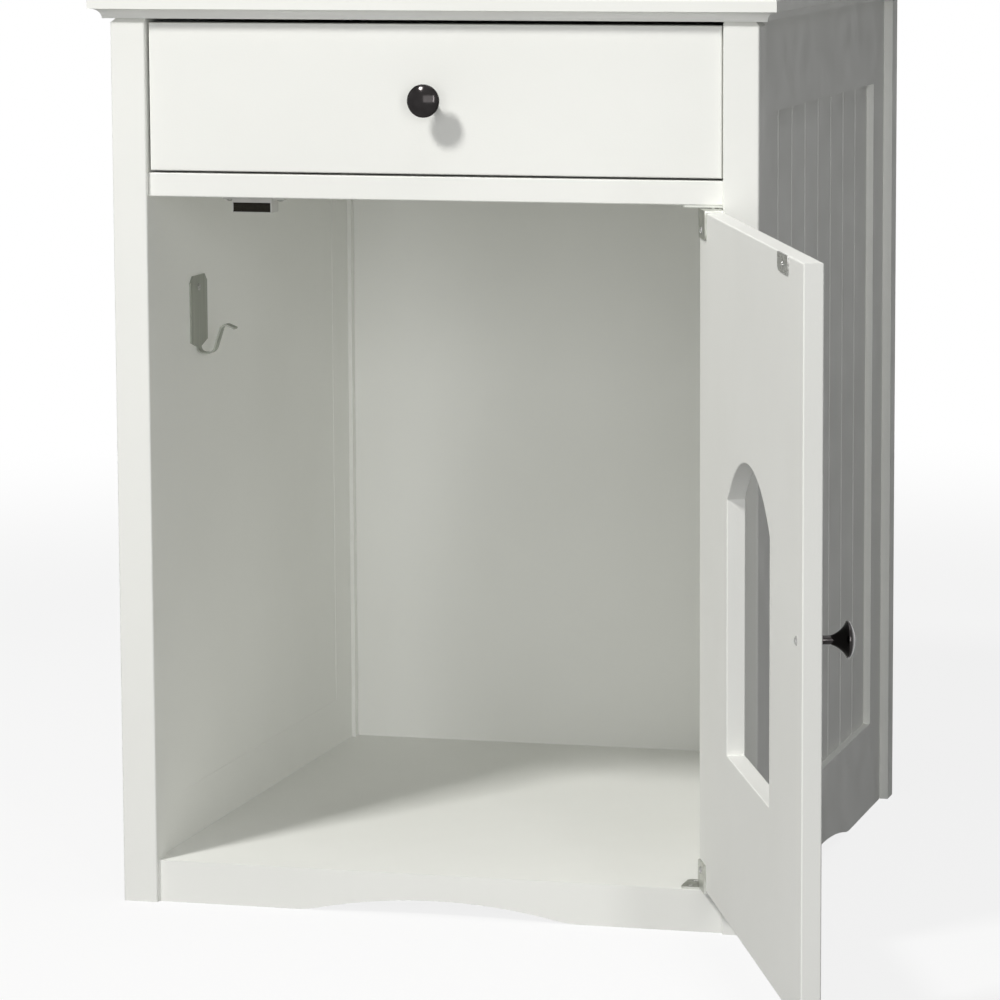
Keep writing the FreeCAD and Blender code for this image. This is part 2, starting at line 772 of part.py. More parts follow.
def make_drawer_box():
    """Front, two grooved sides, a back between them and a thin bottom in the grooves."""
    low = (-drawer_half_front, face_y, drawer_low)
    front = board("drawer_front", low, (drawer_half_front, drawer_back_of_front_y, drawer_high))
    dress(front, "Fillet", "FaceEdges", size["edge_radius"], lambda box: flat_y(box, 0))
    hole = size["knob_screw_radius"] + size["screw_hole_gap"]
    spot = (drawer_half_front, drawer_mid_z - drawer_low)
    drill(front, "KnobScrew", "XZ_Plane", 0, [spot], hole, size["drawer_front_thickness"])

    wall, groove = size["drawer_wall"], size["drawer_groove_depth"]
    lift, bottom = size["drawer_bottom_lift"], size["drawer_bottom_thickness"]
    inner = drawer_half_box - wall
    screw_depth = size["screw_length"] - size["slide_sheet"]
    screw_spots = [(wall / 2, y) for y in runner_screw_places()]
    for side_name, side in SIDES:
        low_x, high_x = across(side, inner, drawer_half_box)
        low = (low_x, drawer_back_of_front_y, drawer_box_low)
        body = board(f"drawer_{side_name}_side", low, (high_x, drawer_rear_y, drawer_box_high))
        start_x = dim(0) if side == RIGHT else wall - groove
        slot = new_sketch(body, "Groove", "XZ_Plane")
        rectangle(slot, (start_x, lift), (start_x + groove, lift + bottom))
        pocket(body, slot, "BottomGroove", drawer_box_length)
        pilot = size["screw_radius"]
        drill(body, "RunnerScrew", "XY_Plane", 0, screw_spots, pilot, screw_depth, reverse=True)

    bottom_low = drawer_box_low + lift
    bottom_high = bottom_low + bottom
    low = (-inner, drawer_rear_y - wall, bottom_high)
    board("drawer_back", low, (inner, drawer_rear_y, drawer_box_high))
    low = (-inner - groove, drawer_back_of_front_y, bottom_low)
    board("drawer_bottom", low, (inner + groove, drawer_rear_y, bottom_high))


def add_axle(body, side, inward, y, z, length):
    """Riveted stub axle on a slide's web; inward points it at the middle of the cabinet."""
    reverse = (side == RIGHT) == inward
    way = -1 if reverse else 1
    stub = new_sketch(body, "Axle", "YZ_Plane")
    circle(stub, y, z, size["axle_radius"])
    pad(body, stub, "RollerAxle", length, reverse)
    head = new_sketch(body, "AxleHead", "YZ_Plane", length * way)
    circle(head, y, z, size["axle_head_radius"])
    pad(body, head, "RivetHead", size["axle_head_thickness"], reverse)


def make_roller(label, x, y):
    """Plastic wheel with bevelled rims, bored for its axle."""
    half, radius, rim = size["roller_width"] / 2, size["roller_radius"], size["roller_rim"]
    bore = size["axle_radius"] + size["roller_bore_gap"]
    body = new_body(label, (x, y, axle_z))
    turn_solid(body, "X", 1, [
        (-half, bore),
        (half, bore),
        (half, radius - rim),
        (half - rim, radius),
        (rim - half, radius),
        (-half, radius - rim),
    ])


def make_rail(side_name, side, axle_length):
    """Channel on the side frame, with the front roller's axle. Returns its screws."""
    metal, reach, length = size["slide_sheet"], size["slide_reach"], rail_length
    height = rail_high - rail_low
    rail = new_body(f"{side_name}_drawer_rail", (side_inner_x * side, rail_rear_y, rail_low))
    section = new_sketch(rail, "Section", "XZ_Plane")
    channel = [
        (0, 0),
        (0, height),
        (-reach, height),
        (-reach, height - metal),
        (-metal, height - metal),
        (-metal, metal),
        (-reach, metal),
        (-reach, 0),
    ]
    outline(section, channel, mirror=side)
    pad(rail, section, "Channel", length)
    screw_ys = [size["rail_screw_from_front"] - length, -size["rail_screw_from_rear"]]
    spots = [(y, axle_z - rail_low) for y in screw_ys]
    drill(rail, "Screw", "YZ_Plane", 0, spots, screw_hole, metal, reverse=side == LEFT)
    add_axle(rail, side, True, size["roller_from_end"] - length, axle_z - rail_low, axle_length)
    web_x = (side_inner_x - metal) * side
    return [wood_screw("rail_screw", (web_x, rail_rear_y + y, axle_z), "X", side) for y in screw_ys]


def make_runner(side_name, side, axle_length):
    """Angle on the drawer's side, with the rear roller's axle. Returns its screws."""
    metal, lip, length = size["slide_sheet"], size["slide_lip"], drawer_box_length
    flange_reach = post_inner_x - size["slide_gap"] - drawer_half_box
    flange_low = flange_z - runner_low
    runner = new_body(
        f"{side_name}_drawer_runner", (drawer_half_box * side, drawer_rear_y, runner_low)
    )
    section = new_sketch(runner, "Section", "XZ_Plane")
    angle = [
        (-lip, 0),
        (metal, 0),
        (metal, flange_low),
        (flange_reach, flange_low),
        (flange_reach, flange_low + metal),
        (0, flange_low + metal),
        (0, metal),
        (-lip, metal),
    ]
    outline(section, angle, mirror=side)
    pad(runner, section, "Angle", length)
    screw_ys = [y - length for y in runner_screw_places()]
    from_web = size["drawer_wall"] / 2
    spots = [(from_web * -side, y) for y in screw_ys]
    drill(runner, "Screw", "XY_Plane", metal, spots, screw_hole, metal)
    add_axle(runner, side, False, -size["roller_from_end"], axle_z - runner_low, axle_length)
    screw_x = (drawer_half_box - from_web) * side
    places = [(screw_x, drawer_rear_y + y, runner_low) for y in screw_ys]
    return [wood_screw("runner_screw", spot, "Z", 1) for spot in places]


def make_slides():
    """Roller slides. A channel with a front roller is fixed to the cabinet, and an angle with a
    rear roller to the drawer: its flange runs on the front roller, inside the channel."""
    web_to_middle = size["slide_sheet"] + size["slide_side_gap"] + size["roller_width"] / 2
    axle_length = web_to_middle + size["roller_width"] / 2 + size["slide_gap"]
    from_end = size["roller_from_end"]
    rail_screws, runner_screws = [], []
    for side_name, side in SIDES:
        rail_screws += make_rail(side_name, side, axle_length)
        runner_screws += make_runner(side_name, side, axle_length)
        x = (side_inner_x - web_to_middle) * side
        make_roller(f"{side_name}_rail_roller", x, rail_front_y + from_end)
        x = (drawer_half_box + web_to_middle) * side
        make_roller(f"{side_name}_runner_roller", x, drawer_rear_y - from_end)
    group("rail_screws", rail_screws)
    group("runner_screws", runner_screws)


# ---- knobs ---------------------------------------------------------------------------------

def make_knob(label, position, board_thickness, turn=None):
    """Turned knob on a board's outer face, with the screw that holds it from behind."""
    reach, head, start = size["knob_reach"], size["knob_head_radius"], size["knob_head_start"]
    neck, neck_end = size["knob_neck_radius"], size["knob_neck_end"]
    foot, foot_end = size["knob_foot_radius"], size["knob_foot_thickness"]
    bore, grip = size["knob_screw_radius"], size["knob_screw_grip"]
    rim_end = start + size["knob_rim"]
    flare_length, flare_rise = start - neck_end, head - neck
    flare_radius = (flare_length * flare_length + flare_rise * flare_rise) / (flare_rise * 2)
    turn_solid(new_body(label, position, turn), "Y", 1, [
        (0, bore),
        (0, foot),
        (-foot_end, foot),
        (-foot_end, neck),
        (-neck_end, neck, flare_radius, -1),
        (-start, head),
        (-rim_end, head, dome_radius(head, reach - rim_end), 1),
        (-reach, 0),
        (-grip, 0),
        (-grip, bore),
    ])
    screw_head, screw_rise = size["knob_screw_head_radius"], size["knob_screw_head_height"]
    turn_solid(new_body(f"{label}_screw", position, turn), "Y", 1, [
        (-grip, 0),
        (board_thickness + screw_rise, 0, dome_radius(screw_head, screw_rise), 1),
        (board_thickness, screw_head),
        (board_thickness, bore),
        (-grip, bore),
    ])


# ---- door ----------------------------------------------------------------------------------

def make_door_panel():
    """Inset slab with an arched opening for the cat."""
    body = door_body("door_panel", 0, 0, 0)
    shape = new_sketch(body, "Outline", "XY_Plane", door_low)
    rectangle(shape, (door_free_x, door_outer_y), (door_hinge_x, door_inner_y))
    pad(body, shape, "Board", door_high - door_low)

    def on_face(box):
        return flat_y(box, door_outer_y) or flat_y(box, door_inner_y)

    dress(body, "Fillet", "RimEdges", size["edge_radius"], on_face)

    half, rise = size["cat_arch_half"], size["cat_arch_rise"]
    middle = door_hinge_x - door_width / 2
    sill, spring = door_low + size["cat_sill_height"], door_low + size["cat_spring_height"]
    opening = new_sketch(body, "CatOpening", "XZ_Plane", -door_outer_y)
    outline(opening, [
        (middle - half, sill),
        (middle + half, sill),
        (middle + half, spring, dome_radius(half, rise), 1),
        (middle - half, spring),
    ])
    pocket(body, opening, "CatArch", size["door_thickness"])
    low_x, high_x = (middle - half).value, (middle + half).value

    def opening_edge(box):
        return on_face(box) and box.XMin > low_x - NEAR and box.XMax < high_x + NEAR

    dress(body, "Fillet", "OpeningEdges", size["cat_edge_radius"], opening_edge)

    hole = size["knob_screw_radius"] + size["screw_hole_gap"]
    spot = (door_knob_x, door_knob_z)
    drill(body, "KnobScrew", "XZ_Plane", -door_outer_y, [spot], hole, size["door_thickness"])
    pilot, drop = size["screw_radius"], hinge_screw_drop
    spots = [(hinge_screw_x, door_high - drop), (hinge_screw_x, door_low + drop)]
    depth = size["screw_length"] - size["hinge_sheet"]
    drill(body, "HingeScrew", "XZ_Plane", -door_inner_y, spots, pilot, depth, reverse=True)
    depth = size["screw_length"] - size["strike_thickness"]
    spot = (strike_x, strike_mid_z)
    drill(body, "StrikeScrew", "XZ_Plane", -door_inner_y, [spot], pilot, depth, reverse=True)
    socket = size["hinge_pin_radius"] + size["hinge_socket_gap"]
    depth = size["hinge_pin_length"] - size["door_end_gap"] + size["hinge_socket_gap"]
    drill(body, "UpperSocket", "XY_Plane", door_high, [(0, 0)], socket, depth)
    drill(body, "LowerSocket", "XY_Plane", door_low, [(0, 0)], socket, depth, reverse=True)


def make_strike():
    """Steel plate for the magnet on the door's inner face, with its countersunk screw."""
    half, height = size["strike_width"] / 2, size["strike_height"]
    corner, thickness = size["strike_corner"], size["strike_thickness"]
    body = door_body("strike_plate", strike_x, door_inner_y, door_high - height)
    shape = new_sketch(body, "Outline", "XZ_Plane")
    outline(shape, [
        (corner - half, 0),
        (half - corner, 0, corner, 1),
        (half, corner),
        (half, height),
        (-half, height),
        (-half, corner, corner, 1),
    ])
    pad(body, shape, "Plate", thickness, reverse=True)
    drill(body, "Screw", "XZ_Plane", 0, [(0, height / 2)], screw_hole, thickness)

    def hole_mouth(box):
        return flat_y(box, thickness) and near(box.XLength, screw_hole * 2)

    dress(body, "Chamfer", "Countersink", size["screw_sunk_depth"], hole_mouth)
    spot = on_door(strike_x, door_inner_y + thickness, strike_mid_z)
    keep(wood_screw("strike_screw", spot, "Y", -1, sunk=True, turn=swing))


def make_door_leaf(end_name, end):
    """Bent leaf on the door's end and inner face. Returns its screw."""
    metal, width, leg = size["hinge_sheet"], size["hinge_width"], size["hinge_leg_height"]
    low_x = door_hinge_x - size["hinge_from_edge"] - width
    high_x = low_x + width
    leg_y = door_inner_y + metal
    door_end = door_high if end == UPPER else door_low
    leaf = door_body(f"{end_name}_hinge_door_leaf", 0, 0, door_end)
    section = new_sketch(leaf, "Section", "YZ_Plane", low_x)
    outline(section, [
        (leg_y, leg * -end),
        (leg_y, metal * end),
        (leaf_front_y, metal * end),
        (leaf_front_y, 0),
        (door_inner_y, 0),
        (door_inner_y, leg * -end),
    ])
    pad(leaf, section, "BentLeaf", width)
    flange_top = metal if end == UPPER else 0
    pin_hole = size["hinge_pin_radius"] + size["hinge_pin_gap"]
    drill(leaf, "Pin", "XY_Plane", flange_top, [(0, 0)], pin_hole, metal)
    spot = (hinge_screw_x, hinge_screw_drop * -end)
    drill(leaf, "Screw", "XZ_Plane", -leg_y, [spot], screw_hole, metal, reverse=True)

    def leg_corner(box):
        return flat_z(box, leg * -end) and (flat_x(box, low_x) or flat_x(box, high_x))

    dress(leaf, "Fillet", "LegCorners", size["hinge_corner"], leg_corner)
    spot = on_door(hinge_screw_x, leg_y, door_end - hinge_screw_drop * end)
    return [wood_screw("door_leaf_screw", spot, "Y", -1, turn=swing)]


def make_frame_leaf(end_name, end):
    """Flat leaf on the divider or the floor, with the riveted pin. Returns its screws."""
    metal, pin, free_x = size["hinge_sheet"], size["hinge_pin_radius"], -size["frame_leaf_reach"]
    frame_z = divider_low if end == UPPER else size["floor_top"]
    low_z = -metal if end == UPPER else dim(0)
    leaf = new_body(f"{end_name}_hinge_frame_leaf", (pivot_x, pivot_y, frame_z))
    high = (post_inner_x - pivot_x, leaf_front_y + size["frame_leaf_depth"], low_z + metal)
    slab(leaf, "Plate", (free_x, leaf_front_y, low_z), high)

    def free_corner(box):
        return flat_x(box, free_x) and box.YLength < NEAR

    dress(leaf, "Fillet", "FreeCorners", size["hinge_corner"], free_corner)
    drill(leaf, "Pin", "XY_Plane", low_z + metal, [(0, 0)], pin, metal)
    spots = [(leaf_screw_x, y) for y in leaf_screw_ys]
    drill(leaf, "Screw", "XY_Plane", low_z + metal, spots, screw_hole, metal)
    open_face = metal * -end

    def hole_mouth(box):
        return flat_z(box, open_face) and near(box.XLength, screw_hole * 2)

    dress(leaf, "Chamfer", "Countersinks", size["screw_sunk_depth"], hole_mouth)
    length, tip = size["hinge_pin_length"], size["hinge_pin_tip"]
    stud = new_body(f"{end_name}_hinge_pin", (pivot_x, pivot_y, frame_z))
    shape = [(0, 0), (length, 0), (length, pin - tip), (length - tip, pin), (0, pin)]
    turn_solid(stud, "Z", -end, shape)
    places = [(pivot_x + x, pivot_y + y, frame_z + open_face) for x, y in spots]
    return [wood_screw("frame_leaf_screw", spot, "Z", end, sunk=True) for spot in places]


def make_hinges():
    """Pivot hinges at both ends of the door: the bent leaf turns on the frame leaf's pin."""
    frame_screws, door_screws = [], []
    for end_name, end in ENDS:
        door_screws += make_door_leaf(end_name, end)
        frame_screws += make_frame_leaf(end_name, end)
    group("hinge_frame_screws", frame_screws)
    group("hinge_door_screws", door_screws)


# ---- magnetic catch ------------------------------------------------------------------------

def make_catch():
    """Plastic housing under the divider, with a magnet between two steel pole plates."""
    half, proud, depth = size["catch_width"] / 2, size["pole_proud"], size["catch_depth"]
    half_ears, ear_depth = size["catch_ear_span"] / 2, size["catch_ear_depth"]
    half_magnet, magnet_depth = size["magnet_width"] / 2, size["magnet_depth"]
    ear, pole = size["catch_ear_thickness"], size["pole_thickness"]
    poles_high = -size["magnet_drop"]
    magnet_high = poles_high - pole
    magnet_low = magnet_high - size["magnet_height"]
    poles_low = magnet_low - pole
    origin = (catch_x, catch_face_y, divider_low)

    housing = new_body("catch_housing", origin)
    slab(housing, "Block", (-half, proud, -size["catch_height"]), (half, proud + depth, 0))
    ear_low_y = catch_screw_y - ear_depth / 2
    slab(housing, "Ears", (-half_ears, ear_low_y, -ear), (half_ears, ear_low_y + ear_depth, 0))
    cavity = new_sketch(housing, "Cavity", "XZ_Plane", -proud)
    rectangle(cavity, (-half_magnet, poles_low), (half_magnet, poles_high))
    pocket(housing, cavity, "MagnetCavity", magnet_depth - proud)
    spots = [(catch_screw_x * way, catch_screw_y) for way in (-1, 1)]
    drill(housing, "Screw", "XY_Plane", 0, spots, screw_hole, ear)

    magnet = new_body("catch_magnet", origin)
    low = (-half_magnet, size["magnet_recess"], magnet_low)
    slab(magnet, "Bar", low, (half_magnet, magnet_depth, magnet_high))
    plates = []
    for low_z in (magnet_high, poles_low):
        plates.append(loose_body("catch_pole_plate", origin))
        slab(plates[-1], "Plate", (-half_magnet, 0, low_z), (half_magnet, magnet_depth, low_z + pole))
    group("catch_pole_plates", plates)
    places = [(catch_x + x, catch_face_y + y, origin[2] - ear) for x, y in spots]
    group("catch_screws", [wood_screw("catch_screw", spot, "Z", 1) for spot in places])


# ---- scoop hook ----------------------------------------------------------------------------

class BentStrip:
    """Side view of a strip bent step by step, kept as its left and right edges."""

    def __init__(self, left, right, heading, thickness):
        self.left, self.right, self.heading = left, right, heading
        self.thickness = thickness
        self.left_edge, self.right_edge = [], []

    def run(self, length):
        step_x, step_y = cosine(self.heading) * length, sine(self.heading) * length
        self.left_edge.append(self.left)
        self.right_edge.append(self.right)
        self.left = (self.left[0] + step_x, self.left[1] + step_y)
        self.right = (self.right[0] + step_x, self.right[1] + step_y)

    def bend(self, inner_radius, angle, turn):
        """Bend left (turn 1) or right (turn -1) round an inner radius."""
        outer_radius = inner_radius + self.thickness
        radii = (inner_radius, outer_radius) if turn > 0 else (outer_radius, inner_radius)
        inner_corner = self.left if turn > 0 else self.right
        inward = (-sine(self.heading) * turn, cosine(self.heading) * turn)
        centre = [inner_corner[i] + inward[i] * inner_radius for i in (0, 1)]
        self.left_edge.append(self.left + (radii[0], turn))
        self.right_edge.append(self.right + (radii[1], turn))
        self.heading = self.heading + angle * turn
        inward = (-sine(self.heading) * turn, cosine(self.heading) * turn)
        self.left, self.right = [
            (centre[0] - inward[0] * radius, centre[1] - inward[1] * radius) for radius in radii
        ]

    def corners(self):
        """Out along the left edge and back along the right one."""
        back = [self.right]
        for corner in reversed(self.right_edge):
            if len(corner) > 2:
                back[-1] = back[-1] + (corner[2], -corner[3])
            back.append(corner[:2])
        return self.left_edge + [self.left] + back


def make_hook():
    """Sheet plate screwed to the left wall, narrowing to a strip that curls out and up."""
    metal, half = size["hook_sheet"], size["hook_plate_width"] / 2
    chamfer, half_strip = size["hook_plate_chamfer"], size["hook_strip_width"] / 2
    top, low = hook_top_z, hook_top_z - size["hook_plate_height"]
    neck = low - size["hook_neck_height"]
    body = new_body("scoop_hook", (-bead_inner_x, hook_y, 0))
    plate = new_sketch(body, "Plate", "YZ_Plane")
    outline(plate, [
        (-half_strip, neck),
        (half_strip, neck),
        (half, low),
        (half, top - chamfer),
        (half - chamfer, top),
        (chamfer - half, top),
        (-half, top - chamfer),
        (-half, low),
    ])
    pad(body, plate, "WallPlate", metal)
    strip = BentStrip((metal, neck), (dim(0), neck), dim(-90), metal)
    strip.bend(size["hook_bend_radius"], dim(90), 1)
    strip.run(size["hook_foot"])
    strip.bend(size["hook_cup_radius"], size["hook_cup_turn"], 1)
    strip.run(size["hook_rise"])
    strip.bend(size["hook_crown_radius"], size["hook_crown_turn"], -1)
    strip.run(size["hook_tip"])
    curl = new_sketch(body, "Curl", "XZ_Plane", -half_strip)
    outline(curl, strip.corners())
    pad(body, curl, "CurledStrip", size["hook_strip_width"])
    drill(body, "Screw", "YZ_Plane", metal, [(0, hook_screw_z)], screw_hole, metal)
    keep(wood_screw("hook_screw", (metal - bead_inner_x, hook_y, hook_screw_z), "X", LEFT))


# ---- the whole cabinet ---------------------------------------------------------------------

def make_cabinet():
    make_top_board()
    make_posts()
    for side_name, side in SIDES:
        make_side(side_name, side)
    make_boards()
    make_drawer_box()
    make_slides()
    make_knob("drawer_knob", (0, face_y, drawer_mid_z), size["drawer_front_thickness"])
    make_door_panel()
    spot = on_door(door_knob_x, door_outer_y, door_knob_z)
    make_knob("door_knob", spot, size["door_thickness"], swing)
    make_strike()
    make_hinges()
    make_catch()
    make_hook()
    doc.recompute()


def check_and_export():
    for item in doc.Objects:
        if "Invalid" in item.State or "Error" in item.State:
            raise ValueError(f"{item.Label} ({item.Name}) failed: {item.State}")
    for node, solids in nodes:
        shape = node.Shape
        if shape.isNull() or not shape.isValid():
            raise ValueError(f"{node.Label} has no valid shape")
        if len(shape.Solids) != solids:
            raise ValueError(f"{node.Label} has {len(shape.Solids)} solids and not {solids}")
    os.makedirs("parts", exist_ok=True)
    for node, solids in nodes:
        node.Shape.exportStep(f"parts/{node.Label}.step")
        print(f"{node.Label}: {solids} solid(s), {node.Shape.Volume / 1000:.2f} cm3")
    print(f"{len(nodes)} nodes")


make_cabinet()
check_and_export()
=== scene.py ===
import json
import math

import bmesh
import bpy
import numpy as np
from mathutils import Matrix, Vector


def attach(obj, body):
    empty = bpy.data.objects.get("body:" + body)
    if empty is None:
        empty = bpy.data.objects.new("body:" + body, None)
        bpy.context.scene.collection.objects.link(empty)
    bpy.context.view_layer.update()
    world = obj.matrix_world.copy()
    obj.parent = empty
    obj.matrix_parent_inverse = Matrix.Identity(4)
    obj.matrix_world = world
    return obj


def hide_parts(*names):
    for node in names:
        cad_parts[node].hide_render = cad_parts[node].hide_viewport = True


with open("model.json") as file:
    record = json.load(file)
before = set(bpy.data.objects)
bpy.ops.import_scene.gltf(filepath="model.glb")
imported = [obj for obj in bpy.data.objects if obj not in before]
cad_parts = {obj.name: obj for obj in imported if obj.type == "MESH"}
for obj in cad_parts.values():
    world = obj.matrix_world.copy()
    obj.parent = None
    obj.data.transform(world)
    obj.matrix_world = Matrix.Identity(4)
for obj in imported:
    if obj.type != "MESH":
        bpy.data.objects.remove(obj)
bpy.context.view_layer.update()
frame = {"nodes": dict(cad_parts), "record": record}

# White cabinet that hides a cat's litter box, seen from the front right with its door open.
# Metres, in the model's frame: +Z up, the front faces -Y, the origin on the floor behind it.

MM = 0.001
BODY_OF = {node: body for body, members in frame["record"]["behaviour"]["bodies"].items()
           for node in members}
SLOT_OF = {row["node"]: row["material_slot"] for row in frame["record"]["subparts"]}

# ---- camera --------------------------------------------------------------------------------

CAMERA_PLACE = Vector((0.9016, -3.6091, 0.7508))
CAMERA_AZIMUTH = math.radians(15.34)    # looks this far left of +Y
CAMERA_DIP = math.radians(8.04)
CAMERA_ROLL = math.radians(-0.29)
CAMERA_LENS, SENSOR_WIDTH = 171.36, 36  # millimetres
CAMERA_NEAR, CAMERA_FAR = 0.05, 60


def make_camera():
    """The photograph's view: from the front right and a little above."""
    forward = Vector((
        -math.sin(CAMERA_AZIMUTH) * math.cos(CAMERA_DIP),
        math.cos(CAMERA_AZIMUTH) * math.cos(CAMERA_DIP),
        -math.sin(CAMERA_DIP),
    ))
    level_right = Vector((math.cos(CAMERA_AZIMUTH), math.sin(CAMERA_AZIMUTH), 0))
    level_up = level_right.cross(forward)
    right = level_right * math.cos(CAMERA_ROLL) + level_up * math.sin(CAMERA_ROLL)
    up = level_up * math.cos(CAMERA_ROLL) - level_right * math.sin(CAMERA_ROLL)
    data = bpy.data.cameras.new("Camera")
    data.sensor_width = SENSOR_WIDTH
    data.lens = CAMERA_LENS
    data.clip_start, data.clip_end = CAMERA_NEAR, CAMERA_FAR
    camera = bpy.data.objects.new("Camera", data)
    turn = Matrix((right, up, -forward)).transposed().to_4x4()
    camera.matrix_world = Matrix.Translation(CAMERA_PLACE) @ turn
    bpy.context.scene.collection.objects.link(camera)
    bpy.context.scene.camera = camera


# ---- studio --------------------------------------------------------------------------------

STAGE_AIM = Vector((0, -0.45, 0.35))        # the lamps point here, into the doorway
KEY_PLACE = Vector((-1.22, -2.55, 2.86))    # upper left, in front: from the shadows' slopes
KEY_SIZE = 0.46
KEY_POWER = 84
KEY_COLOUR = (1.0, 0.99, 0.97)
FRONT_RISE = math.radians(9)                # of the two lamps in front
FRONT_DISTANCE = 4.2
FILL_BEARING = math.radians(8)              # right of the cabinet's front
FILL_WIDTH, FILL_HEIGHT = 2.6, 1.9
FILL_POWER = 40
STRIP_BEARING = math.radians(30)            # narrow, for a bright line on round metal
STRIP_WIDTH, STRIP_HEIGHT = 0.22, 1.8
STRIP_POWER = 22
SKY_PLACE = Vector((0.4, -0.6, 3.6))
SKY_SIZE = 2.4
SKY_POWER = 26
WORLD_STRENGTH = 0.05
WHITE = (1, 1, 1, 1)
FLOOR_HALF = 14.0
FLOOR_NEAR, FLOOR_FAR = 0.9, 2.2            # metres from the origin over which the shadow fades
FLOOR_GLOW = 0.84                           # share of plain white near the cabinet
FLOOR_PAINT = (0.80, 0.80, 0.80, 1)         # takes the shadow
FLOOR_BOUNCE = (0.30, 0.30, 0.30, 1)        # what the floor throws back at the cabinet


def area_lamp(name, place, width, height, power, colour=(1, 1, 1)):
    """A flat lamp that faces the cabinet."""
    data = bpy.data.lights.new(name, "AREA")
    data.shape = "RECTANGLE"
    data.size, data.size_y = width, height
    data.energy = power
    data.color = colour
    lamp = bpy.data.objects.new(name, data)
    lamp.location = place
    lamp.rotation_mode = "QUATERNION"
    lamp.rotation_quaternion = (STAGE_AIM - place).to_track_quat("-Z", "Y")
    bpy.context.scene.collection.objects.link(lamp)


def from_front(bearing):
    """A low place in front of the cabinet, the given angle to the right."""
    away = Vector((
        math.sin(bearing) * math.cos(FRONT_RISE),
        -math.cos(bearing) * math.cos(FRONT_RISE),
        math.sin(FRONT_RISE),
    ))
    return STAGE_AIM + away * FRONT_DISTANCE


def make_lamps():
    """A small hard lamp for the shadows, a broad and a narrow one in front, a soft one above."""
    area_lamp("KeyLight", KEY_PLACE, KEY_SIZE, KEY_SIZE, KEY_POWER, KEY_COLOUR)
    area_lamp("FillLight", from_front(FILL_BEARING), FILL_WIDTH, FILL_HEIGHT, FILL_POWER)
    area_lamp("StripLight", from_front(STRIP_BEARING), STRIP_WIDTH, STRIP_HEIGHT, STRIP_POWER)
    area_lamp("SkyLight", SKY_PLACE, SKY_SIZE, SKY_SIZE, SKY_POWER)


def seen_directly(nodes, links, lit, seen):
    """Shader that is one thing to the camera and in reflections, and another as a light."""
    path = nodes.new("ShaderNodeLightPath")
    share = path.outputs["Is Camera Ray"]
    for ray in ("Is Glossy Ray", "Is Transmission Ray"):
        either = nodes.new("ShaderNodeMath")
        either.operation = "MAXIMUM"
        links.new(share, either.inputs[0])
        links.new(path.outputs[ray], either.inputs[1])
        share = either.outputs[0]
    mix = nodes.new("ShaderNodeMixShader")
    links.new(share, mix.inputs["Fac"])
    links.new(lit, mix.inputs[1])
    links.new(seen, mix.inputs[2])
    return mix.outputs[0]


def make_world():
    """White behind everything, but a weak light."""
    world = bpy.data.worlds.new("Studio")
    bpy.context.scene.world = world
    world.use_nodes = True
    nodes, links = world.node_tree.nodes, world.node_tree.links
    nodes.clear()
    soft = nodes.new("ShaderNodeBackground")
    soft.inputs["Color"].default_value = WHITE
    soft.inputs["Strength"].default_value = WORLD_STRENGTH
    white = nodes.new("ShaderNodeBackground")
    white.inputs["Color"].default_value = WHITE
    output = nodes.new("ShaderNodeOutputWorld")
    shader = seen_directly(nodes, links, soft.outputs[0], white.outputs[0])
    links.new(shader, output.inputs["Surface"])


def floor_seen(nodes, links):
    """Shader that shows the shadow near the cabinet and is plain white further out."""
    shaded = nodes.new("ShaderNodeBsdfDiffuse")
    shaded.inputs["Color"].default_value = FLOOR_PAINT
    white = nodes.new("ShaderNodeEmission")
    white.inputs["Strength"].default_value = 1.0
    coordinates = nodes.new("ShaderNodeTexCoord")
    distance = nodes.new("ShaderNodeVectorMath")
    distance.operation = "LENGTH"
    links.new(coordinates.outputs["Object"], distance.inputs[0])
    glow = nodes.new("ShaderNodeMapRange")
    glow.interpolation_type = "SMOOTHSTEP"
    glow.inputs["From Min"].default_value = FLOOR_NEAR
    glow.inputs["From Max"].default_value = FLOOR_FAR
    glow.inputs["To Min"].default_value = FLOOR_GLOW
    glow.inputs["To Max"].default_value = 1.0
    links.new(distance.outputs["Value"], glow.inputs["Value"])
    seen = nodes.new("ShaderNodeMixShader")
    links.new(glow.outputs["Result"], seen.inputs["Fac"])
    links.new(shaded.outputs[0], seen.inputs[1])
    links.new(white.outputs[0], seen.inputs[2])
    return seen.outputs[0]


def floor_material():
    """White to look at, but grey as a light on the cabinet."""
    material = bpy.data.materials.new("PaleFloor")
    material.use_nodes = True
    nodes, links = material.node_tree.nodes, material.node_tree.links
    nodes.clear()
    bounce = nodes.new("ShaderNodeBsdfDiffuse")
    bounce.inputs["Color"].default_value = FLOOR_BOUNCE
    output = nodes.new("ShaderNodeOutputMaterial")
    shader = seen_directly(nodes, links, bounce.outputs[0], floor_seen(nodes, links))
    links.new(shader, output.inputs["Surface"])
    return material


def make_floor():
    """Plain floor that keeps a faint shadow of the cabinet near it."""
    mesh = bpy.data.meshes.new("Floor")
    size = FLOOR_HALF
    mesh.from_pydata([(-size, -size, 0), (size, -size, 0), (size, size, 0), (-size, size, 0)],
                     [], [(0, 1, 2, 3)])
    mesh.materials.append(floor_material())
    floor = bpy.data.objects.new("Floor", mesh)
    bpy.context.scene.collection.objects.link(floor)


# ---- material building blocks --------------------------------------------------------------

TEXTURE_LOW, TEXTURE_HIGH = 0.3, 0.7        # most of a texture's values lie between these


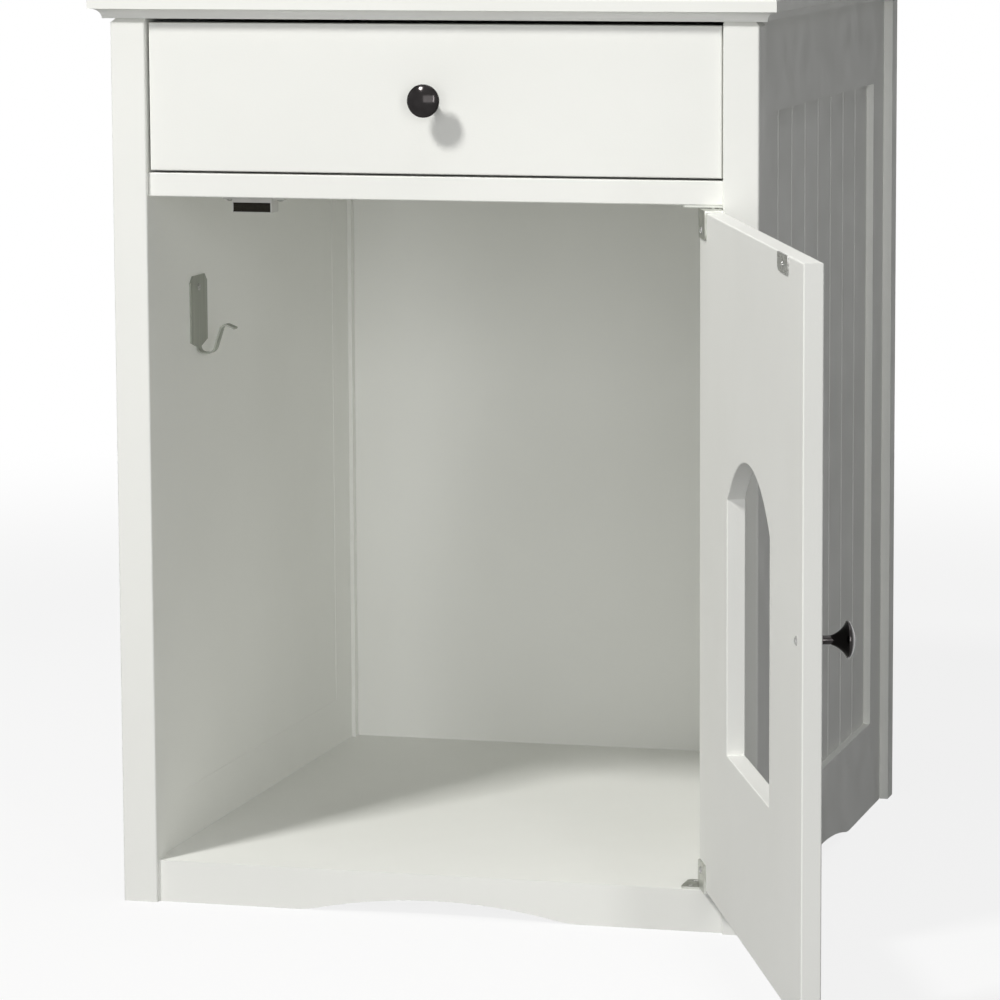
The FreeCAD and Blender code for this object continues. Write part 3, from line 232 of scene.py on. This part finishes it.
class Finish:
    """A material being built: its shader, with helpers for the textures that feed it."""

    def __init__(self, name, metallic=0.0, specular=0.5, stretch=(1, 1, 1)):
        self.material = bpy.data.materials.new(name)
        self.material.use_nodes = True
        tree = self.material.node_tree
        self.nodes, self.links = tree.nodes, tree.links
        self.shader = tree.nodes["Principled BSDF"]
        self.shader.inputs["Metallic"].default_value = metallic
        self.shader.inputs["Specular IOR Level"].default_value = specular
        coordinates = self.nodes.new("ShaderNodeTexCoord")
        mapping = self.nodes.new("ShaderNodeMapping")
        mapping.inputs["Scale"].default_value = stretch
        self.links.new(coordinates.outputs["Object"], mapping.inputs["Vector"])
        self.place = mapping.outputs["Vector"]

    def noise(self, scale, detail):
        """Clouds, with the given number of them per metre and layers of finer ones."""
        texture = self.nodes.new("ShaderNodeTexNoise")
        texture.inputs["Scale"].default_value = scale
        texture.inputs["Detail"].default_value = detail
        texture.inputs["Roughness"].default_value = 0.5
        self.links.new(self.place, texture.inputs["Vector"])
        return texture.outputs["Fac"]

    def cells(self, scale):
        """Grains, the given number of them per metre."""
        texture = self.nodes.new("ShaderNodeTexVoronoi")
        texture.inputs["Scale"].default_value = scale
        self.links.new(self.place, texture.inputs["Vector"])
        return texture.outputs["Distance"]

    def colour(self, value, dark, light):
        """Base colour between two tones."""
        ramp = self.nodes.new("ShaderNodeValToRGB")
        ramp.color_ramp.elements[0].color = (*dark, 1)
        ramp.color_ramp.elements[1].color = (*light, 1)
        ramp.color_ramp.elements[0].position = TEXTURE_LOW
        ramp.color_ramp.elements[1].position = TEXTURE_HIGH
        self.links.new(value, ramp.inputs["Fac"])
        self.links.new(ramp.outputs["Color"], self.shader.inputs["Base Color"])

    def gloss(self, value, low, high):
        """Roughness between two levels."""
        ranged = self.nodes.new("ShaderNodeMapRange")
        ranged.inputs["From Min"].default_value = TEXTURE_LOW
        ranged.inputs["From Max"].default_value = TEXTURE_HIGH
        ranged.inputs["To Min"].default_value = low
        ranged.inputs["To Max"].default_value = high
        self.links.new(value, ranged.inputs["Value"])
        self.links.new(ranged.outputs["Result"], self.shader.inputs["Roughness"])

    def relief(self, height, distance):
        """Bumps of the given height in metres."""
        node = self.nodes.new("ShaderNodeBump")
        node.inputs["Strength"].default_value = 1.0
        node.inputs["Distance"].default_value = distance
        self.links.new(height, node.inputs["Height"])
        self.links.new(node.outputs["Normal"], self.shader.inputs["Normal"])


# ---- materials -----------------------------------------------------------------------------

def white_paint():
    """Satin paint, sprayed: a faint orange peel, slow changes of tone and of gloss."""
    paint = Finish("WhitePaint", specular=0.1)
    paint.colour(paint.noise(6, 3), (0.872, 0.878, 0.842), (0.902, 0.908, 0.874))
    paint.gloss(paint.noise(40, 3), 0.48, 0.60)
    paint.relief(paint.noise(850, 2), 0.00005)
    return paint.material


def drawer_box_board():
    """Matt white foil with a pressed grain that runs along the drawer."""
    foil = Finish("WhiteFoil", specular=0.3, stretch=(1, 0.06, 1))
    foil.colour(foil.noise(260, 4), (0.74, 0.73, 0.69), (0.81, 0.80, 0.77))
    foil.gloss(foil.noise(300, 3), 0.5, 0.66)
    foil.relief(foil.noise(700, 3), 0.00008)
    return foil.material


def chrome_with_painted_dark():
    """Polished chrome whose near-black base colour is painted shade: it stands in for a dark room
    reflected in it. Softly worn, so that a lamp's highlight spreads a little.
    """
    plate = Finish("ChromeWithPaintedDarkReflections", metallic=1.0)
    # painted shade: the near-black base colour stands in for dark surroundings reflected in the
    # chrome
    plate.colour(plate.noise(90, 2), (0.022, 0.020, 0.020), (0.040, 0.037, 0.037))
    plate.gloss(plate.noise(420, 4), 0.11, 0.17)
    plate.relief(plate.noise(160, 1), 0.00001)
    return plate.material


def brushed(name, dark, light, low, high, stretch):
    """Metal sheet with clouded gloss, and lines along the axis where stretch is small."""
    metal = Finish(name, metallic=1.0, stretch=stretch)
    metal.colour(metal.noise(180, 4), dark, light)
    metal.gloss(metal.noise(260, 4), low, high)
    metal.relief(metal.noise(1500, 3), 0.00002)
    return metal.material


def zinc_plate(name, dark, light):
    """Zinc plate: mottled grey with small bright grains."""
    zinc = Finish(name, metallic=1.0)
    zinc.colour(zinc.cells(700), dark, light)
    zinc.gloss(zinc.noise(500, 4), 0.22, 0.42)
    zinc.relief(zinc.noise(1100, 3), 0.00002)
    return zinc.material


def powder_coat():
    """White powder coat on the slides, with its fine pebbled skin."""
    coat = Finish("PowderCoat", specular=0.5)
    coat.colour(coat.noise(30, 3), (0.72, 0.71, 0.67), (0.79, 0.78, 0.75))
    coat.gloss(coat.noise(200, 2), 0.34, 0.48)
    coat.relief(coat.cells(1500), 0.00005)
    return coat.material


def ferrite():
    """Sintered magnet: near black with a dull sparkle."""
    block = Finish("Ferrite", specular=0.12)
    block.colour(block.cells(1800), (0.012, 0.011, 0.008), (0.022, 0.020, 0.014))
    block.gloss(block.noise(900, 3), 0.5, 0.75)
    block.relief(block.noise(1600, 3), 0.00006)
    return block.material


def moulded_plastic(name, dark, light, low, high):
    """Moulded plastic with a spark-eroded skin."""
    plastic = Finish(name, specular=0.45)
    plastic.colour(plastic.noise(60, 2), dark, light)
    plastic.gloss(plastic.noise(500, 2), low, high)
    plastic.relief(plastic.cells(2200), 0.00004)
    return plastic.material


def make_materials():
    """The material of each slot."""
    return {
        "white_paint": white_paint(),
        "drawer_box_board": drawer_box_board(),
        "knob_chrome": chrome_with_painted_dark(),
        "hinge_nickel": brushed("SatinNickel", (0.46, 0.47, 0.43), (0.60, 0.61, 0.57), 0.26, 0.42,
                                (0.05, 1, 1)),
        "hook_steel": brushed("HookNickel", (0.34, 0.355, 0.32), (0.46, 0.475, 0.43), 0.34, 0.50,
                              (1, 1, 0.05)),
        "strike_steel": zinc_plate("StrikeZinc", (0.40, 0.40, 0.39), (0.60, 0.60, 0.59)),
        "screw_steel": zinc_plate("ScrewZinc", (0.34, 0.34, 0.33), (0.52, 0.52, 0.51)),
        "slide_steel": powder_coat(),
        "pole_steel": brushed("PoleSteel", (0.010, 0.009, 0.007), (0.022, 0.020, 0.015), 0.4, 0.55,
                              (0.05, 1, 1)),
        "magnet_ferrite": ferrite(),
        "catch_plastic": moulded_plastic("CatchPlastic", (0.60, 0.60, 0.57), (0.68, 0.68, 0.65),
                                         0.32, 0.46),
        "roller_plastic": moulded_plastic("RollerNylon", (0.66, 0.65, 0.60), (0.74, 0.73, 0.69),
                                          0.26, 0.38),
    }


def dress_nodes(materials):
    """Give each solid the material of its slot."""
    for name, node in frame["nodes"].items():
        node.data.materials.clear()
        node.data.materials.append(materials[SLOT_OF[name]])


# ---- pieces --------------------------------------------------------------------------------

SHARP_ANGLE = math.radians(40)              # an edge that turns more than this shows as an edge


class Form:
    """Points and faces gathered for one piece."""

    def __init__(self):
        self.points, self.faces = [], []

    def turned(self, rings, place, segments, relief=None):
        """Add a solid turned about its own Z axis from (height, radius) rings, both ends closed.
        relief takes a height, a radius and an angle, and gives the height and radius there."""
        first = len(self.points)
        for height, radius in rings:
            for number in range(segments):
                angle = 2 * math.pi * number / segments
                z, r = relief(height, radius, angle) if relief else (height, radius)
                self.points.append(place @ Vector((r * math.cos(angle), r * math.sin(angle), z)))
        for ring in range(len(rings) - 1):
            low, high = first + ring * segments, first + (ring + 1) * segments
            for number in range(segments):
                after = (number + 1) % segments
                self.faces.append((low + number, low + after, high + after, high + number))
        last = first + (len(rings) - 1) * segments
        self.faces.append([first + number for number in reversed(range(segments))])
        self.faces.append([last + number for number in range(segments)])

    def piece(self, name, material, slot, *replaced):
        """Make the piece, on the body of the nodes that it replaces."""
        mesh = bpy.data.meshes.new(name)
        mesh.from_pydata(self.points, [], self.faces)
        mesh.materials.append(material)
        mesh.shade_smooth()
        mesh.set_sharp_from_angle(angle=SHARP_ANGLE)
        thing = bpy.data.objects.new(name, mesh)
        bpy.context.scene.collection.objects.link(thing)
        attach(thing, BODY_OF[replaced[0]])
        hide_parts(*replaced)


def dome(radius, rise, radii):
    """Heights of a shallow dome over a circle, at the given radii."""
    ball = (radius * radius + rise * rise) / (2 * rise)
    return [math.sqrt(ball * ball - r * r) - ball + rise for r in radii]


# ---- screws --------------------------------------------------------------------------------

SHANK_LENGTH, SHANK_RADIUS, SHANK_TAPER = 9.0 * MM, 1.4 * MM, 2.0 * MM
SHANK_POINT = 0.04                          # share of its radius left at the tip
SHANK_TOP_GAP = 0.02 * MM                   # keeps its end just inside the head
SHANK_RINGS, SHANK_SEGMENTS = 40, 16
HEAD_RADIUS, HEAD_RISE = 2.9 * MM, 1.3 * MM
HEAD_UNDERSIDE = 0.97                       # share of a raised head's radius that lies flat
SUNK_RADIUS, SUNK_DEPTH = 2.4 * MM, 1.0 * MM
HEAD_RINGS, HEAD_SEGMENTS = 18, 40
HEAD_MIDDLE = 0.02                          # share of a head's radius in its innermost ring
RECESS_REACH, RECESS_HALF, RECESS_DEPTH = 1.55 * MM, 0.38 * MM, 0.75 * MM
RECESS_EDGE = 0.16 * MM                     # width of the slope into the cross
THREAD_PITCH, THREAD_DEPTH = 1.1 * MM, 0.35 * MM
THREAD_SHARE = 0.3                          # of the radius, where that is less deep
THREAD_SLOPE = 3                            # how soon a flank comes to its full depth
FIRST_TURN, NEXT_TURN = 0.6, 1.9            # radians: no two screws stop at the same turn
SCREW_IS_SUNK = {
    "rail_screws": False,
    "runner_screws": False,
    "hinge_door_screws": False,
    "catch_screws": False,
    "hook_screw": False,
    "hinge_frame_screws": True,
    "strike_screw": True,
}
SAME_POINT = 0.001 * MM


def solids_of(node):
    """The points of each separate solid of a node."""
    shape = bmesh.new()
    shape.from_mesh(node.data)
    bmesh.ops.remove_doubles(shape, verts=shape.verts, dist=SAME_POINT)
    seen, solids = set(), []
    for start in shape.verts:
        if start in seen:
            continue
        seen.add(start)
        found, waiting = [], [start]
        while waiting:
            vert = waiting.pop()
            found.append(vert.co[:])
            for link in vert.link_edges:
                other = link.other_vert(vert)
                if other not in seen:
                    seen.add(other)
                    waiting.append(other)
        solids.append(np.array(found))
    shape.free()
    return solids


def head_of(points):
    """Where a screw's head ends, and the way out of it along the screw's axis."""
    middle = points.mean(axis=0)
    spread = points - middle
    axis = np.linalg.svd(spread, full_matrices=False)[2][0]
    along = spread @ axis
    out = np.linalg.norm(spread - np.outer(along, axis), axis=1)
    if along[out.argmax()] < 0:
        axis, along = -axis, -along
    tip = points[along.argmin()]
    return Vector(tip) + Vector(axis) * (along.max() - along.min()), Vector(axis)


def cross_above(underside):
    """Relief that sinks a cross into a screw head's face, above the head's underside."""
    def relief(height, radius, angle):
        if height <= underside:
            return height, radius
        x, y = abs(radius * math.cos(angle)), abs(radius * math.sin(angle))
        sunk = 0.0
        for along, aside in ((x, y), (y, x)):
            inside = min(RECESS_REACH - along, RECESS_HALF - aside) / RECESS_EDGE
            sunk = max(sunk, min(inside, 1))
        return height - RECESS_DEPTH * sunk, radius
    return relief


def thread(height, radius, angle):
    """Relief that cuts a thread into a screw's shank."""
    phase = (height / THREAD_PITCH - angle / (2 * math.pi)) % 1
    depth = min(THREAD_DEPTH, radius * THREAD_SHARE)
    return height, radius - depth * min(1, abs(phase - 0.5) * THREAD_SLOPE)


def head_rings(sunk):
    """A flat countersunk head or a raised one, from its underside to its middle."""
    radius = SUNK_RADIUS if sunk else HEAD_RADIUS
    radii = [radius * (1 - (1 - HEAD_MIDDLE) * step / HEAD_RINGS) for step in range(HEAD_RINGS + 1)]
    if sunk:
        return [(-SUNK_DEPTH, SHANK_RADIUS)] + [(0.0, r) for r in radii]
    under = [(0.0, SHANK_RADIUS), (0.0, radius * HEAD_UNDERSIDE)]
    return under + list(zip(dome(radius, HEAD_RISE, radii), radii))


def shank_rings(top):
    """A shank with a point, from the point up to the given height."""
    rings = []
    for step in range(SHANK_RINGS + 1):
        up = (top + SHANK_LENGTH) * step / SHANK_RINGS
        taper = min(1, up / SHANK_TAPER + SHANK_POINT)
        rings.append((up - SHANK_LENGTH, SHANK_RADIUS * taper))
    return rings


def add_screw(form, top, axis, sunk, turn):
    """One screw: a head with a cross in it, and a threaded shank with a point."""
    rise, underside = (0, -SUNK_DEPTH) if sunk else (HEAD_RISE, 0.0)
    upright = axis.to_track_quat("Z", "Y").to_matrix().to_4x4()
    seat = Matrix.Translation(top - axis * rise) @ upright @ Matrix.Rotation(turn, 4, "Z")
    form.turned(head_rings(sunk), seat, HEAD_SEGMENTS, cross_above(underside))
    form.turned(shank_rings(underside - SHANK_TOP_GAP), seat, SHANK_SEGMENTS, thread)


def make_screws(materials):
    """Screws with a cross and a thread, each in the place of its plain solid."""
    for name, sunk in SCREW_IS_SUNK.items():
        form = Form()
        for number, points in enumerate(solids_of(frame["nodes"][name])):
            top, axis = head_of(points)
            add_screw(form, top, axis, sunk, FIRST_TURN + number * NEXT_TURN)
        form.piece(f"{name}_cross", materials["screw_steel"], "screw_steel", name)


# ---- knobs ---------------------------------------------------------------------------------

KNOB_SEGMENTS = 96
KNOB_REACH, KNOB_RADIUS = 23.0 * MM, 11.3 * MM
RIM_START, RIM_THICKNESS = 17.8 * MM, 1.8 * MM
RIM_EASE, RIM_STEPS = 0.45 * MM, 5
RIM_TURN = math.radians(50)                 # the rim's front edge rounds this far, into the dome
NECK_RADIUS, NECK_END = 2.8 * MM, 8.0 * MM
NECK_FILLET = 0.5 * MM
FLARE_STEPS, FLARE_ARC = 28, 0.55           # share of a round flare; the rest is nearly straight
FLARE_POWER = 1.25
DOME_STEPS, DOME_INSET = 26, 0.5 * MM
DOME_MIDDLE = 0.01 * MM                     # radius of the innermost ring
FOOT_RADIUS, FOOT_THICKNESS = 5.2 * MM, 1.4 * MM
FOOT_EASE, FOOT_STEPS = 0.35 * MM, 5
FOOT_INSET = 0.2 * MM                       # the foot's back is this much smaller
BORE_RADIUS, BORE_DEPTH = 2.0 * MM, 8.0 * MM
DRAWER_KNOB = Vector((0, -495, 568.05)) * MM
DOOR_PIVOT = Vector((196, -490.8, 0)) * MM
DOOR_ANGLE = math.radians(111.6)            # how far the door is open
DOOR_KNOB = Vector((-378, -4.2, 266.6)) * MM     # from the pivot, with the door closed
OUT_OF_FRONT = Matrix.Rotation(math.pi / 2, 4, "X")


def arc_rings(height, radius, ease, start, end, steps):
    """Round a profile's corner about the given height and radius, between two angles."""
    angles = [start + (end - start) * step / steps for step in range(steps + 1)]
    return [(height + ease * math.sin(angle), radius + ease * math.cos(angle)) for angle in angles]


def foot_rings():
    """The bore for the screw, and the round foot on the board."""
    rings = [(BORE_DEPTH, BORE_RADIUS), (0, BORE_RADIUS), (0, FOOT_RADIUS - FOOT_INSET)]
    rings += arc_rings(FOOT_THICKNESS - FOOT_EASE, FOOT_RADIUS - FOOT_EASE, FOOT_EASE,
                       0, math.pi / 2, FOOT_STEPS)
    rings.append((FOOT_THICKNESS, NECK_RADIUS + NECK_FILLET))
    rings.append((FOOT_THICKNESS + NECK_FILLET, NECK_RADIUS))
    return rings


def flare_rings():
    """The trumpet from the neck out to the rim."""
    length, rise = RIM_START - NECK_END, KNOB_RADIUS - NECK_RADIUS
    flare = (length * length + rise * rise) / (2 * rise)
    rings = []
    for step in range(FLARE_STEPS):
        along = length * step / FLARE_STEPS
        arc = flare - math.sqrt(flare**2 - along**2)
        cone = rise * (step / FLARE_STEPS) ** FLARE_POWER
        rings.append((NECK_END + along, NECK_RADIUS + arc * FLARE_ARC + cone * (1 - FLARE_ARC)))
    return rings


def face_rings():
    """The thin rim and the shallow dome in front of it."""
    edge, rim_end = KNOB_RADIUS - RIM_EASE, RIM_START + RIM_THICKNESS
    rings = arc_rings(RIM_START + RIM_EASE, edge, RIM_EASE, -math.pi / 2, 0, RIM_STEPS + 1)
    rings += arc_rings(rim_end - RIM_EASE, edge, RIM_EASE, 0, RIM_TURN, RIM_STEPS)
    span = KNOB_RADIUS - DOME_INSET
    radii = [span * (1 - step / DOME_STEPS) + DOME_MIDDLE for step in range(DOME_STEPS + 1)]
    heights = dome(KNOB_RADIUS, KNOB_REACH - rim_end, radii)
    return rings + [(rim_end + height, radius) for height, radius in zip(heights, radii)]


def make_knobs(materials):
    """The two knobs, turned from one profile, from the board outwards."""
    rings = foot_rings() + flare_rings() + face_rings()
    on_door = Matrix.Translation(DOOR_PIVOT) @ Matrix.Rotation(DOOR_ANGLE, 4, "Z")
    places = {
        "drawer_knob": Matrix.Translation(DRAWER_KNOB) @ OUT_OF_FRONT,
        "door_knob": on_door @ Matrix.Translation(DOOR_KNOB) @ OUT_OF_FRONT,
    }
    for name, place in places.items():
        form = Form()
        form.turned(rings, place, KNOB_SEGMENTS)
        form.piece(f"{name}_turned", materials["knob_chrome"], "knob_chrome", name)


# ---- edges ---------------------------------------------------------------------------------

EASED_NODES = ("scoop_hook", "strike_plate", "upper_hinge_door_leaf", "lower_hinge_door_leaf",
               "upper_hinge_frame_leaf", "lower_hinge_frame_leaf", "catch_housing")
EASE_WIDTH = 0.25 * MM


def ease_edges():
    """Break the sharp edges of stamped sheet and moulded plastic."""
    for name in EASED_NODES:
        bevel = frame["nodes"][name].modifiers.new("EasedEdges", "BEVEL")
        bevel.width = EASE_WIDTH
        bevel.segments = 2
        bevel.limit_method = "ANGLE"
        bevel.angle_limit = SHARP_ANGLE


# ---- the whole scene -----------------------------------------------------------------------

make_camera()
make_world()
make_floor()
make_lamps()
finishes = make_materials()
dress_nodes(finishes)
ease_edges()
make_knobs(finishes)
make_screws(finishes)

bpy.context.scene.view_settings.view_transform = "Standard"
